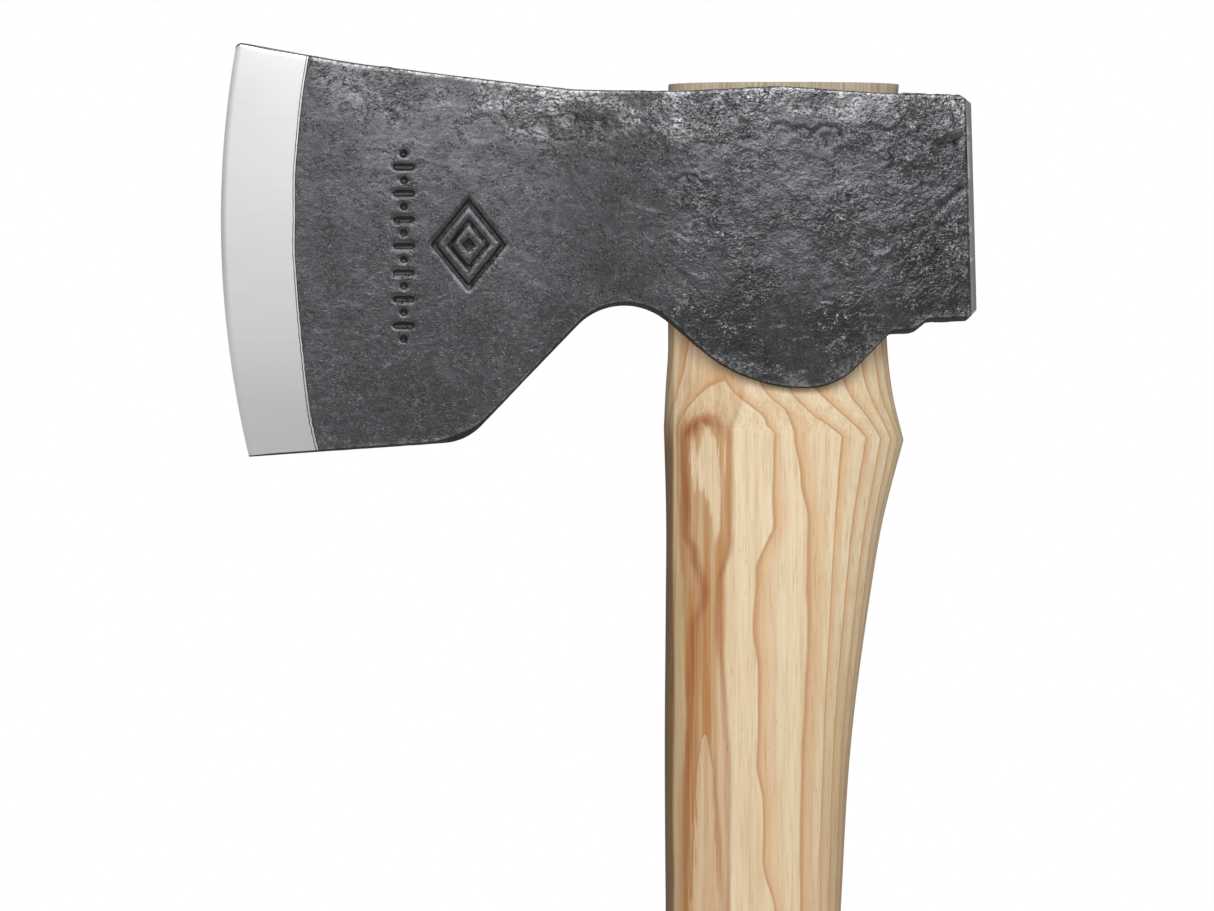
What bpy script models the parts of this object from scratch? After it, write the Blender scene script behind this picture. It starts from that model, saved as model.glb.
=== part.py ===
"""Carving hatchet: a bearded forged head hung on a hickory handle by a wooden wedge and a steel ring.

Frame: the origin is the centre of the flat butt face, +Z runs up the handle to the head, the cutting
edge looks along -X, and the XZ plane is the plane of symmetry. Lengths below are in millimetres.
"""

import math

import bmesh
import bpy
import numpy as np

MM = 0.001
FIT_GAP = 0.35          # clearance left between pieces that touch
ARC_STEPS = 10          # points laid along each rounded corner of an outline

# Head outline, seen from the side: (x, z, corner radius), left to right.
TOP_OUTLINE = [
    (-117.5, 404.0, 0.0),
    (-113.2, 408.7, 1.4),
    (-88.0, 404.1, 150.0),
    (-40.0, 398.2, 90.0),
    (-14.0, 397.75, 180.0),
    (6.0, 399.0, 100.0),
    (26.0, 397.35, 180.0),
    (44.6, 396.95, 0.6),
    (48.4, 394.3, 0.0),
]
UNDERSIDE = [
    (-113.6, 319.7, 0.0),
    (-111.2, 317.5, 1.0),
    (-63.2, 320.9, 12.5),
    (-29.1, 356.6, 14.5),
    (-2.6, 332.0, 33.4),
    (17.5, 332.0, 16.2),
    (29.7, 344.45, 1.2),
    (34.5, 344.6, 3.0),
    (37.6, 347.1, 2.0),
    (46.6, 347.35, 0.3),
    (50.4, 351.2, 0.0),
]

# Cutting edge and its ground bevel.
EDGE_X = -117.26
EDGE_RADIUS = 222.2
EDGE_CENTRE_Z = 369.6
EDGE_HALF_LAND = 0.1
BEVEL_WIDTH = 15.9
BEVEL_ANGLE = math.radians(13.0)
LIP_WIDTH = 0.7
LIP_RISE = 0.35

# Forged body behind the bevel: half thicknesses.
BLADE_HALF = 4.1
BLADE_TAPER = 0.035
BODY_HALF = 15.0
BODY_CENTRE_X = 8.0
BODY_FALLOFF = 0.0011
NECK_START_X = -52.0
NECK_END_X = -10.0
LOBE_START_Z = 349.0
LOBE_THINNING = 0.11

# Forging draft: how far the edges of a cheek stand back from the parting line.
TOP_DRAFT = 0.05
UNDER_DRAFT = 0.04
BEARD_DRAFT = 0.16
BEARD_X = -64.0
BEARD_SPREAD = 5.0
CHEEK_ROUNDING = 0.18   # share of the half thickness lost at each rounded cheek edge
CHEEK_PULL = 0.02       # share of the way to the middle that a cheek's edge points move in

# Poll, ground flat and leaning out a little at the bottom.
POLL_X = 47.6
POLL_MIDDLE_Z = 372.0
POLL_LEAN = 0.026
POLL_LEAN_START_X = 15.0
POLL_CHAMFER_LENGTH = 1.2
POLL_CHAMFER_DEPTH = 1.5

# Handle sections: (z, front x, back x, half thickness).
SHOULDER_Z = 323.0
TONGUE_TOP_Z = 399.3
GRIP_SECTIONS = [
    (0.0, -19.5, 19.5, 10.8),
    (2.5, -22.0, 21.0, 12.8),
    (18.0, -24.3, 20.3, 13.6),
    (45.0, -20.4, 16.8, 12.8),
    (80.0, -17.6, 14.6, 11.8),
    (125.0, -17.8, 14.8, 11.8),
    (172.0, -18.9, 16.9, 12.2),
    (217.6, -19.4, 19.1, 12.6),
    (257.0, -19.6, 21.6, 13.1),
    (284.0, -19.4, 25.1, 13.5),
    (304.0, -19.3, 28.4, 13.9),
    (SHOULDER_Z, -19.8, 32.9, 14.3),
]
TONGUE_SECTIONS = [
    (SHOULDER_Z, -19.8, 32.9, 14.3),
    (332.0, -19.4, 30.6, 10.9),
    (340.0, -18.9, 29.5, 10.1),
    (349.0, -18.9, 29.1, 9.8),
    (368.0, -18.9, 29.7, 9.8),
    (TONGUE_TOP_Z, -19.1, 32.1, 10.6),
]
SECTION_POWER = 2.4     # roundness of the handle section: 2 is an ellipse, more is squarer
SHOULDER_TILT = -0.055  # the shoulder crease runs lower at the back
TILT_REACH = 22.0
EYE_CUTTER_FLOOR_Z = 329.0

# Wedge slot, wooden wedge and steel ring.
SLOT_FLOOR_Z = 352.0
SLOT_TOP_HALF = 2.6
SLOT_FLOOR_HALF = 1.05
WEDGE_TIP_Z = 354.5
WEDGE_TOP_HALF = 2.25
WEDGE_TIP_HALF = 0.75
RING_CENTRE_X = 6.5
RING_RADIUS = 6.5
RING_WALL = 1.3
RING_DEPTH = 15.0
RING_LIP_WALL = 0.4
GROOVE_EXTRA_DEPTH = 1.0

# Lengths by which a cutter runs past what it cuts.
CUTTER_OVERRUN = 1.0
SLOT_CUTTER_ENDS = (-40.0, 50.0)

# Mesh resolution.
OUTLINE_SOLVE_STEPS = 12
CHEEK_POINTS = 11
OVAL_POINTS = 40
RING_POINTS = 48


def unit(vector):
    """Return the vector scaled to length one."""
    return vector / np.linalg.norm(vector)


def filleted(corners):
    """Turn (x, z, radius) corners into a polyline whose inner corners are rounded by arcs."""
    points = [np.array(corners[0][:2])]
    for before, corner, after in zip(corners, corners[1:], corners[2:]):
        here = np.array(corner[:2])
        radius = corner[2]
        back = unit(np.array(before[:2]) - here)
        ahead = unit(np.array(after[:2]) - here)
        half_angle = math.acos(float(back @ ahead)) / 2
        reach = radius / math.tan(half_angle)
        centre = here + unit(back + ahead) * radius / math.sin(half_angle)
        start = unit(here + back * reach - centre)
        end = unit(here + ahead * reach - centre)
        for share in np.linspace(0.0, 1.0, ARC_STEPS + 1):
            points.append(centre + unit(start * (1 - share) + end * share) * radius)
    points.append(np.array(corners[-1][:2]))
    return np.array(points)


TOP_LINE = filleted(TOP_OUTLINE)
UNDER_LINE = filleted(UNDERSIDE)


def smoothstep(value, low, high):
    """Ease from 0 at low to 1 at high."""
    share = min(max((value - low) / (high - low), 0.0), 1.0)
    return share * share * (3 - 2 * share)


def height_on(line, x):
    """Height of an outline at x."""
    return float(np.interp(x, line[:, 0], line[:, 1]))


def station_x(station, z):
    """X of the station curve at height z: an arc near the edge, upright inside, leaning at the poll."""
    radius = EDGE_RADIUS - (station - EDGE_X)
    sag = radius - math.sqrt(radius ** 2 - (z - EDGE_CENTRE_Z) ** 2)
    arc_share = 1 - smoothstep(station, EDGE_X + BEVEL_WIDTH + LIP_WIDTH, BEARD_X)
    lean_share = smoothstep(station, POLL_LEAN_START_X, POLL_X - POLL_CHAMFER_LENGTH)
    return station + sag * arc_share - POLL_LEAN * (z - POLL_MIDDLE_Z) * lean_share


def end_of_station(station, line):
    """Point where a station curve meets an outline."""
    z = height_on(line, station)
    for _ in range(OUTLINE_SOLVE_STEPS):
        z = height_on(line, station_x(station, z))
    return z


def half_thickness(x, z):
    """Half thickness of the head: the ground bevel where it is thinner than the forged body."""
    blade = BLADE_HALF + BLADE_TAPER * (x - EDGE_X - BEVEL_WIDTH)
    body = BODY_HALF - BODY_FALLOFF * (x - BODY_CENTRE_X) ** 2
    neck = smoothstep(x, NECK_START_X, NECK_END_X)
    forged = blade + (body - blade) * neck
    forged -= LOBE_THINNING * max(LOBE_START_Z - z, 0.0) * neck
    from_centre = math.hypot(x - EDGE_X - EDGE_RADIUS, z - EDGE_CENTRE_Z)
    inset = max(EDGE_RADIUS - from_centre, 0.0)
    ground = EDGE_HALF_LAND + inset * math.tan(BEVEL_ANGLE)
    if inset > BEVEL_WIDTH:
        ground += (inset - BEVEL_WIDTH) * LIP_RISE / LIP_WIDTH
    return min(ground, forged)


def head_ring(station):
    """One closed section of the head: front cheek down, underside, back cheek up, top."""
    top = end_of_station(station, TOP_LINE)
    bottom = end_of_station(station, UNDER_LINE)
    middle_half = half_thickness(station, POLL_MIDDLE_Z)
    beard = math.exp(-((station - BEARD_X) / BEARD_SPREAD) ** 2)
    top_edge = top - TOP_DRAFT * middle_half
    bottom_edge = bottom + (UNDER_DRAFT + BEARD_DRAFT * beard) * middle_half
    chamfer = POLL_CHAMFER_DEPTH if station >= POLL_X else 0.0
    cheek = []
    for share in np.linspace(0.0, 1.0, CHEEK_POINTS):
        z = top_edge + (bottom_edge - top_edge) * share
        x = station_x(station, z)
        cheek.append((x, half_thickness(x, z) - chamfer, z))
    # The outermost cheek points are pulled in to round the cheek edges.
    rounded = [(x, half * (1 - CHEEK_ROUNDING), z) for x, half, z in (cheek[0], cheek[-1])]
    inner = [(x, half, z + (POLL_MIDDLE_Z - z) * CHEEK_PULL) for x, half, z in (cheek[0], cheek[-1])]
    cheek = [inner[0]] + cheek[1:-1] + [inner[1]]
    top_side = [rounded[0], (station_x(station, top), 0.0, top)]
    under_side = [rounded[1], (station_x(station, bottom), 0.0, bottom)]
    ring = [(x, -half, z) for x, half, z in [top_side[0]] + cheek + [under_side[0]]]
    ring.append(under_side[1])
    ring += [(x, half, z) for x, half, z in [under_side[0]] + cheek[::-1] + [top_side[0]]]
    ring.append(top_side[1])
    return ring


def head_stations():
    """Station positions from the cutting edge to the poll, closer where the outline turns."""
    lip_x = EDGE_X + BEVEL_WIDTH + LIP_WIDTH
    return np.concatenate([
        [EDGE_X, EDGE_X + 2.0, EDGE_X + 6.5, EDGE_X + 11.5, EDGE_X + BEVEL_WIDTH],
        np.linspace(lip_x, -72.0, 5),
        np.linspace(-69.0, -54.0, 7),
        np.linspace(-50.0, -10.0, 17),
        np.linspace(-6.0, 10.0, 5),
        np.linspace(12.5, 28.0, 9),
        [29.3, 30.5, 33.8, 35.2, 36.6, 38.4, 41.5, 44.2],
        [POLL_X - POLL_CHAMFER_LENGTH, POLL_X],
    ])


def mesh_object(name, vertices, faces, collection):
    """Make an object from millimetre vertices, with its faces turned outward."""
    mesh = bpy.data.meshes.new(name)
    mesh.from_pydata([(x * MM, y * MM, z * MM) for x, y, z in vertices], [], faces)
    work = bmesh.new()
    work.from_mesh(mesh)
    bmesh.ops.recalc_face_normals(work, faces=work.faces)
    work.to_mesh(mesh)
    work.free()
    made = bpy.data.objects.new(name, mesh)
    collection.objects.link(made)
    return made


def loft_faces(ring_count, ring_size):
    """Quads that join neighbouring rings of a loft."""
    faces = []
    for ring in range(ring_count - 1):
        for point in range(ring_size):
            following = (point + 1) % ring_size
            low = ring * ring_size
            high = low + ring_size
            faces.append((low + point, low + following, high + following, high + point))
    return faces


def paired_cap(first, ring_size):
    """Close a ring whose first half mirrors its second half, by joining facing points."""
    side = ring_size // 2 - 1
    faces = [(first, first + 1, first + ring_size - 3, first + ring_size - 2)]
    for point in range(1, side - 1):
        facing = ring_size - 2 - point
        faces.append((first + point, first + point + 1, first + facing - 1, first + facing))
    faces.append((first + side - 1, first + side, first + side + 1))
    faces.append((first + ring_size - 2, first + ring_size - 1, first))
    return faces


def build_head(collection):
    """Loft the head from the cutting edge to the poll."""
    rings = [head_ring(station) for station in head_stations()]
    size = len(rings[0])
    vertices = [point for ring in rings for point in ring]
    faces = loft_faces(len(rings), size)
    faces += paired_cap(0, size)
    faces += paired_cap((len(rings) - 1) * size, size)
    return mesh_object("axe_head", vertices, faces, collection)


def section_at(sections, z):
    """Front x, back x and half thickness at z, eased through the listed sections."""
    table = np.array(sections)
    heights = table[:, 0]
    slopes = np.gradient(table[:, 1:], heights, axis=0)
    index = int(np.clip(np.searchsorted(heights, z) - 1, 0, len(heights) - 2))
    span = heights[index + 1] - heights[index]
    share = (z - heights[index]) / span
    start, end = table[index, 1:], table[index + 1, 1:]
    ease = share * share * (3 - 2 * share)
    leaving = share * (1 - share) ** 2 * span
    arriving = share * share * (share - 1) * span
    return start + (end - start) * ease + slopes[index] * leaving + slopes[index + 1] * arriving


def handle_section(z):
    """Front x, back x and half thickness of the handle at z."""
    return section_at(GRIP_SECTIONS if z < SHOULDER_Z else TONGUE_SECTIONS, z)


def oval_ring(z, grow, tilt):
    """A superelliptic handle section at z, grown outward by a clearance."""
    front, back, half = handle_section(z)
    centre = (front + back) / 2
    reach = (back - front) / 2 + grow
    ring = []
    for turn in np.linspace(0.0, 2 * math.pi, OVAL_POINTS, endpoint=False):
        across, through = math.cos(turn), math.sin(turn)
        x = centre + reach * math.copysign(abs(across) ** (2 / SECTION_POWER), across)
        y = (half + grow) * math.copysign(abs(through) ** (2 / SECTION_POWER), through)
        ring.append((x, y, z + tilt * x))
    return ring


def oval_loft(name, heights, grow, collection):
    """Loft oval sections along Z and close both ends."""
    rings = []
    for z in heights:
        nearness = max(1 - abs(z - SHOULDER_Z) / TILT_REACH, 0.0)
        tilt = SHOULDER_TILT * nearness if grow == 0 else 0.0
        rings.append(oval_ring(z, grow, tilt))
    vertices = [point for ring in rings for point in ring]
    faces = loft_faces(len(rings), OVAL_POINTS)
    last = (len(rings) - 1) * OVAL_POINTS
    faces.append(tuple(range(OVAL_POINTS)))
    faces.append(tuple(range(last, last + OVAL_POINTS)))
    return mesh_object(name, vertices, faces, collection)


def build_handle(collection):
    """Loft the handle from the flat butt to the top of the tongue."""
    heights = np.concatenate([
        [0.0, 0.5, 1.3, 2.5, 6.0, 11.0],
        np.linspace(18.0, 108.0, 11),
        np.linspace(125.0, 300.0, 11),
        [308.0, 316.0, SHOULDER_Z, 327.0, 332.0, 336.0, 341.0, 349.0],
        np.linspace(360.0, TONGUE_TOP_Z - 0.4, 4),
        [TONGUE_TOP_Z],
    ])
    return oval_loft("handle", heights, 0.0, collection)


def build_eye_cutter(collection):
    """Solid that opens the eye of the head, a fit gap larger than the tongue."""
    heights = np.linspace(EYE_CUTTER_FLOOR_Z, TONGUE_TOP_Z, 12)
    return oval_loft("eye_cutter", heights, FIT_GAP, collection)


def slab(name, heights, halves, front_back, collection):
    """Upright slab with its own front x, back x and half thickness at every height."""
    vertices = []
    for z, half, (front, back) in zip(heights, halves, front_back):
        vertices += [(front, -half, z), (back, -half, z), (back, half, z), (front, half, z)]
    last = len(vertices) - 4
    faces = loft_faces(len(heights), 4)
    faces.append((0, 1, 2, 3))
    faces.append((last, last + 1, last + 2, last + 3))
    return mesh_object(name, vertices, faces, collection)


def build_slot_cutter(collection):
    """Tapered slab that opens the wedge slot across the tongue."""
    slope = (SLOT_TOP_HALF - SLOT_FLOOR_HALF) / (TONGUE_TOP_Z - SLOT_FLOOR_Z)
    heights = [SLOT_FLOOR_Z, TONGUE_TOP_Z + CUTTER_OVERRUN]
    halves = [SLOT_FLOOR_HALF, SLOT_TOP_HALF + slope * CUTTER_OVERRUN]
    return slab("slot_cutter", heights, halves, [SLOT_CUTTER_ENDS] * 2, collection)


def build_wedge(collection):
    """Wooden wedge that fills the slot from end to end of the tongue."""
    heights = np.linspace(WEDGE_TIP_Z, TONGUE_TOP_Z, 6)
    halves = np.linspace(WEDGE_TIP_HALF, WEDGE_TOP_HALF, 6)
    ends = []
    for z in heights:
        front, back, _ = handle_section(z)
        ends.append((front + FIT_GAP, back - FIT_GAP))
    return slab("wooden_wedge", heights, halves, ends, collection)


def cylinder(name, radius_low, radius_high, z_low, z_high, collection):
    """Upright cylinder or cone on the ring's axis."""
    bpy.ops.mesh.primitive_cone_add(
        vertices=RING_POINTS,
        radius1=radius_low * MM,
        radius2=radius_high * MM,
        depth=(z_high - z_low) * MM,
        location=(RING_CENTRE_X * MM, 0.0, (z_low + z_high) / 2 * MM),
    )
    made = bpy.context.active_object
    made.name = name
    made.data.name = name
    for old in list(made.users_collection):
        old.objects.unlink(made)
    collection.objects.link(made)
    return made


def cut(target, cutter):
    """Subtract a cutter from a target with an exact Boolean."""
    modifier = target.modifiers.new("cut_" + cutter.name, "BOOLEAN")
    modifier.operation = "DIFFERENCE"
    modifier.solver = "EXACT"
    modifier.object = cutter


def build_ring(parts, cutters):
    """Steel ring with its bore opening toward the sharp lower lip."""
    floor = TONGUE_TOP_Z - RING_DEPTH
    ring = cylinder("steel_ring_wedge", RING_RADIUS, RING_RADIUS, floor, TONGUE_TOP_Z, parts)
    slope = (RING_WALL - RING_LIP_WALL) / RING_DEPTH
    bore = cylinder(
        "ring_bore_cutter",
        RING_RADIUS - RING_LIP_WALL + slope * CUTTER_OVERRUN,
        RING_RADIUS - RING_WALL - slope * CUTTER_OVERRUN,
        floor - CUTTER_OVERRUN,
        TONGUE_TOP_Z + CUTTER_OVERRUN,
        cutters,
    )
    cut(ring, bore)
    return ring


def build_groove_cutter(cutters):
    """Round groove for the ring, a fit gap wider than the ring on every side."""
    floor = TONGUE_TOP_Z - RING_DEPTH - GROOVE_EXTRA_DEPTH
    roof = TONGUE_TOP_Z + CUTTER_OVERRUN
    outer_radius = RING_RADIUS + FIT_GAP
    core_radius = RING_RADIUS - RING_WALL - FIT_GAP
    groove = cylinder("groove_cutter", outer_radius, outer_radius, floor, roof, cutters)
    core_floor = floor - CUTTER_OVERRUN
    core_roof = roof + CUTTER_OVERRUN
    core = cylinder("groove_core_cutter", core_radius, core_radius, core_floor, core_roof, cutters)
    cut(groove, core)
    return groove


def give_material(target, name, colour, roughness, metallic):
    """Give an object its own Principled material."""
    material = bpy.data.materials.new(name)
    material.use_nodes = True
    shader = material.node_tree.nodes["Principled BSDF"]
    shader.inputs["Base Color"].default_value = (*colour, 1.0)
    shader.inputs["Roughness"].default_value = roughness
    shader.inputs["Metallic"].default_value = metallic
    target.data.materials.clear()
    target.data.materials.append(material)


def smooth_shading(target, sharp_angle):
    """Shade smooth, keeping edges sharper than the angle crisp."""
    for polygon in target.data.polygons:
        polygon.use_smooth = True
    target.data.set_sharp_from_angle(angle=math.radians(sharp_angle))


def new_collection(name):
    """Add a collection to the scene."""
    collection = bpy.data.collections.new(name)
    bpy.context.scene.collection.children.link(collection)
    return collection


def main():
    """Build the four pieces of the hatchet."""
    for old in list(bpy.data.objects):
        bpy.data.objects.remove(old, do_unlink=True)
    parts = new_collection("carving_hatchet")
    cutters = new_collection("cutters")

    head = build_head(parts)
    handle = build_handle(parts)
    wedge = build_wedge(parts)
    ring = build_ring(parts, cutters)
    groove = build_groove_cutter(cutters)

    cut(head, build_eye_cutter(cutters))
    cut(handle, build_slot_cutter(cutters))
    cut(handle, groove)
    cut(wedge, groove)

    give_material(head, "forged_steel", (0.05, 0.052, 0.058), 0.5, 0.8)
    give_material(handle, "hickory", (0.66, 0.47, 0.28), 0.55, 0.0)
    give_material(wedge, "wedge_wood", (0.52, 0.36, 0.2), 0.65, 0.0)
    give_material(ring, "ring_steel", (0.45, 0.45, 0.46), 0.35, 1.0)

    for piece, sharp_angle in ((head, 28), (handle, 24), (wedge, 20), (ring, 30)):
        smooth_shading(piece, sharp_angle)
    for cutter in cutters.objects:
        cutter.hide_render = True
        cutter.display_type = "WIRE"


main()
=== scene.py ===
"""Looks of the carving hatchet: forged and ground head, hickory handle, wedges, floor, light and camera."""
import math

import bmesh
import bpy
import numpy as np
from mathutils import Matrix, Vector, noise


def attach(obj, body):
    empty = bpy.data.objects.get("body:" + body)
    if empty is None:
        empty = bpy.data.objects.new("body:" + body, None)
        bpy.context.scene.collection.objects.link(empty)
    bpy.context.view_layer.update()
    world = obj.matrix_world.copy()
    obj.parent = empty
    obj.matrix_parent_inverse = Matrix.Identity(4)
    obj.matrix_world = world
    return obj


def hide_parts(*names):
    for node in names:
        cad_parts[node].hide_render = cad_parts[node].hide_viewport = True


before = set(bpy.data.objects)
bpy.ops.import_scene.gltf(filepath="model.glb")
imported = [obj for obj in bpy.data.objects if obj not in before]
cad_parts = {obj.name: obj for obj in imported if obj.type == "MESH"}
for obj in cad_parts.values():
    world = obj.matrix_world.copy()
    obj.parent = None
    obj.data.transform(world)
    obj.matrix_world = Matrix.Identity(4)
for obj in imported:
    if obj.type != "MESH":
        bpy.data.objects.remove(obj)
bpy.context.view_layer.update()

MM = 0.001       # one millimetre in metres
WELD = 0.000005  # corners nearer than this, in metres, are merged after a cut

# The head's outline and sections repeat the CAD model's formulas at a finer step. Lengths are millimetres.
# Outlines: (x, z, corner radius).
TOP_OUTLINE = [
    (-117.5, 404.0, 0.0), (-113.2, 408.7, 1.4), (-88.0, 404.1, 150.0),
    (-40.0, 398.2, 90.0), (-14.0, 397.75, 180.0), (6.0, 399.0, 100.0),
    (26.0, 397.35, 180.0), (44.6, 396.95, 0.6), (48.4, 394.3, 0.0),
]
UNDERSIDE = [
    (-113.6, 319.7, 0.0), (-111.2, 317.5, 1.0), (-63.2, 320.9, 12.5), (-29.1, 356.6, 14.5),
    (-2.6, 332.0, 33.4), (17.5, 332.0, 16.2), (29.7, 344.45, 1.2), (34.5, 344.6, 3.0),
    (37.6, 347.1, 2.0), (46.6, 347.35, 0.3), (50.4, 351.2, 0.0),
]
ARC_STEPS = 24
MEETING_STEPS = 12
EDGE_X = -117.26
EDGE_RADIUS = 222.2
EDGE_CENTRE_Z = 369.6
EDGE_HALF_LAND = 0.03
BEVEL_WIDTH = 15.9
BEVEL_SLOPE = math.tan(math.radians(13.0))
GRIND_X = EDGE_X + BEVEL_WIDTH
GRIND_WANDER_REACH = 5.0
LIP_WIDTH = 0.7
LEDGE_WIDTH = 0.22
HONED_WIDTH = 1.7
SKIN_START_X = GRIND_X + LIP_WIDTH
BLADE_HALF = 4.1
BLADE_TAPER = 0.035
BODY_HALF = 15.0
BODY_CENTRE_X = 8.0
BODY_FALLOFF = 0.0011
LEAST_HALF = 0.01
NECK_START_X = -52.0
NECK_END_X = -10.0
LOBE_START_Z = 349.0
LOBE_THINNING = 0.11
LOBE_EASE = 4.0
CROWN = 1.2
CROWN_MIDDLE_Z = 362.0
CROWN_REACH = 45.0
TOP_DRAFT = 0.05
UNDER_DRAFT = 0.04
BEARD_DRAFT = 0.16
BEARD_X = -64.0
BEARD_SPREAD = 5.0
LEAST_DRAFT = 0.26
POLL_X = 47.6
POLL_MIDDLE_Z = 372.0
POLL_LEAN = 0.026
POLL_LEAN_START_X = 15.0
POLL_CHAMFER_DEPTH = 1.5
SKIN_END_X = POLL_X - 1.2

# The handle's sections: (z, front x, back x, half thickness).
SHOULDER_Z = 323.0
TONGUE_TOP_Z = 399.3
GRIP_SECTIONS = [
    (0.0, -19.5, 19.5, 10.8), (2.5, -22.0, 21.0, 12.8), (18.0, -24.3, 20.3, 13.6),
    (45.0, -20.4, 16.8, 12.8), (80.0, -17.6, 14.6, 11.8), (125.0, -17.8, 14.8, 11.8),
    (172.0, -18.9, 16.9, 12.2), (217.6, -19.4, 19.1, 12.6), (257.0, -19.6, 21.6, 13.1),
    (284.0, -19.4, 25.1, 13.5), (304.0, -19.3, 28.4, 13.9), (SHOULDER_Z, -19.8, 32.9, 14.3),
]
TONGUE_SECTIONS = [
    (SHOULDER_Z, -19.8, 32.9, 14.3), (332.0, -19.4, 30.6, 10.9), (340.0, -18.9, 29.5, 10.1),
    (349.0, -18.9, 29.1, 9.8), (368.0, -18.9, 29.7, 9.8), (TONGUE_TOP_Z, -19.1, 32.1, 10.6),
]
SECTION_POWER = 2.4
SHOULDER_TILT = -0.055
TILT_REACH = 22.0
EYE_FLOOR_Z = 329.0
EYE_GAP = 0.3
SLOT_FLOOR_Z = 352.0
SLOT_TOP_HALF = 2.4
SLOT_FLOOR_HALF = 1.0
WEDGE_TIP_Z = 354.5
WEDGE_TOP_HALF = 2.3
WEDGE_TIP_HALF = 0.75
WEDGE_END_GAP = 0.35
RING_CENTRE_X = 6.5
RING_RADIUS = 6.5
RING_WALL = 1.3
RING_DEPTH = 15.0
GROOVE_GAP = 0.08

# Mesh resolution of the visible pieces.
BEVEL_STEPS = [0.0, 0.3, 1.0, 2.0, 3.2, 4.5, 6.0, 7.5, 9.0, 10.5, 12.0, 13.2, 14.4, 15.2]
LIP_STEPS = [0.0, 0.2, 0.34, LIP_WIDTH - LEDGE_WIDTH]
FORGED_STEP = 0.5
FRONT_CHEEK_POINTS = 168
BACK_CHEEK_POINTS = 76
CORNER_POINTS = 5
EDGE_ROUNDING = 0.42
DRAFT_POINTS = 5
OVAL_POINTS = 144
HANDLE_STEP = 1.0
BUTT_STEPS = [0.0, 0.15, 0.4, 0.8, 1.3, 1.9, 2.5, 3.2]
SHOULDER_STEPS = [-3.0, -2.0, -1.2, -0.6, 0.0, 0.6, 1.2, 2.0, 3.0, 4.0]
TOP_STEPS = [-0.35, -0.12, 0.0]
OVER_TOP = 1.0

# Materials of the head's faces.
FORGED, BEVEL, POLL, HAIRLINE, SHADED_FLANK = range(5)

# Plain punch marks on the front cheek: a double lozenge and a column of bars and dots.
MARK_DEPTH = 0.4
LOZENGE_X = -62.6
LOZENGE_Z = 364.0
LOZENGE_HALF_WIDTH = 7.6
LOZENGE_HALF_HEIGHT = 9.4
LOZENGE_LINE = 0.085
LOZENGE_INNER = 0.55
LOZENGE_DOT = 0.17
COLUMN_X = -76.8
COLUMN_LOW_Z = 343.4
COLUMN_HIGH_Z = 384.0
COLUMN_OVER = 1.2
COLUMN_PITCH = 5.8
BAR_REACH = 1.7
BAR_HALF = 0.62
DOT_RADIUS = 0.85

# Single blows, cracks and dents of the front cheek, as (x, z) places.
# Grooves: start, end, half width, depth. A negative depth makes a raised crease.
GROOVES = [
    ((40.5, 367.9), (47.2, 368.2), 0.45, 0.28), ((41.0, 366.9), (47.2, 367.1), 0.5, -0.16),
    ((40.2, 385.0), (43.5, 386.0), 0.6, 0.25), ((43.5, 386.0), (47.0, 388.4), 0.6, 0.3),
    ((40.5, 371.5), (44.5, 375.6), 0.7, 0.22), ((44.5, 375.6), (47.0, 376.4), 0.7, 0.22),
    ((27.6, 367.0), (28.0, 361.2), 0.5, -0.14), ((33.2, 352.0), (35.6, 347.6), 0.5, -0.2),
    ((25.5, 357.5), (26.8, 354.0), 0.4, -0.12), ((-6.0, 393.2), (-3.4, 390.0), 0.6, 0.1),
    ((-3.4, 390.0), (-1.0, 388.0), 0.6, 0.14), ((3.5, 345.0), (6.5, 345.8), 0.4, -0.12),
    ((-4.5, 337.6), (2.6, 335.4), 0.5, -0.16), ((2.6, 335.4), (6.0, 335.8), 0.5, -0.16),
    ((16.5, 341.5), (22.5, 345.0), 0.5, -0.16), ((8.0, 334.6), (14.5, 336.4), 0.45, -0.12),
    ((-34.0, 353.0), (-27.0, 351.4), 0.5, -0.08),
]
# Arched lips left by the hammer's edge: centre, radius, depth.
ARCHES = [
    ((5.6, 387.6), 2.2, 0.2), ((10.3, 387.4), 1.6, 0.2), ((15.6, 386.2), 3.2, 0.26),
    ((-7.0, 391.6), 2.6, 0.22), ((-14.5, 375.0), 3.6, 0.2), ((-87.8, 396.6), 1.0, 0.14),
    ((-80.2, 392.6), 0.9, 0.16), ((-40.5, 391.2), 1.4, 0.14), ((-26.0, 389.5), 2.0, 0.14),
]
# Pits: centre, radius, depth.
PITS = [
    ((-1.8, 386.8), 1.4, 0.35), ((1.0, 388.4), 1.0, 0.22), ((34.0, 391.5), 2.2, 0.3),
    ((31.0, 389.0), 1.2, 0.22), ((38.5, 370.0), 1.2, 0.25), ((36.0, 364.5), 1.0, 0.22),
    ((-3.0, 340.6), 1.1, 0.2), ((-79.0, 391.8), 1.7, 0.16), ((-46.0, 389.0), 2.2, 0.16),
    ((-34.0, 390.5), 1.6, 0.14),
]
# Smooth flat patches where scale came away whole: centre, radii, depth.
FLAKES = [
    ((20.4, 382.6), (3.6, 2.3), 0.1), ((-24.0, 380.0), (7.0, 9.0), 0.06),
    ((-60.0, 389.5), (5.0, 3.2), 0.05), ((26.5, 364.0), (3.0, 2.6), 0.07),
]

# Coarse darker patches where the scale is cracked: centre, radii.
CRACKED = [
    ((-79.5, 398.0), (8.5, 6.5)), ((-51.0, 394.0), (4.5, 5.0)), ((-39.0, 391.0), (8.0, 4.5)),
    ((-10.0, 390.0), (7.0, 5.0)), ((-12.0, 375.0), (4.5, 5.0)), ((35.0, 384.0), (9.0, 8.0)),
    ((38.0, 364.0), (7.0, 8.0)), ((18.0, 372.0), (6.0, 3.5)),
]

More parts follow.
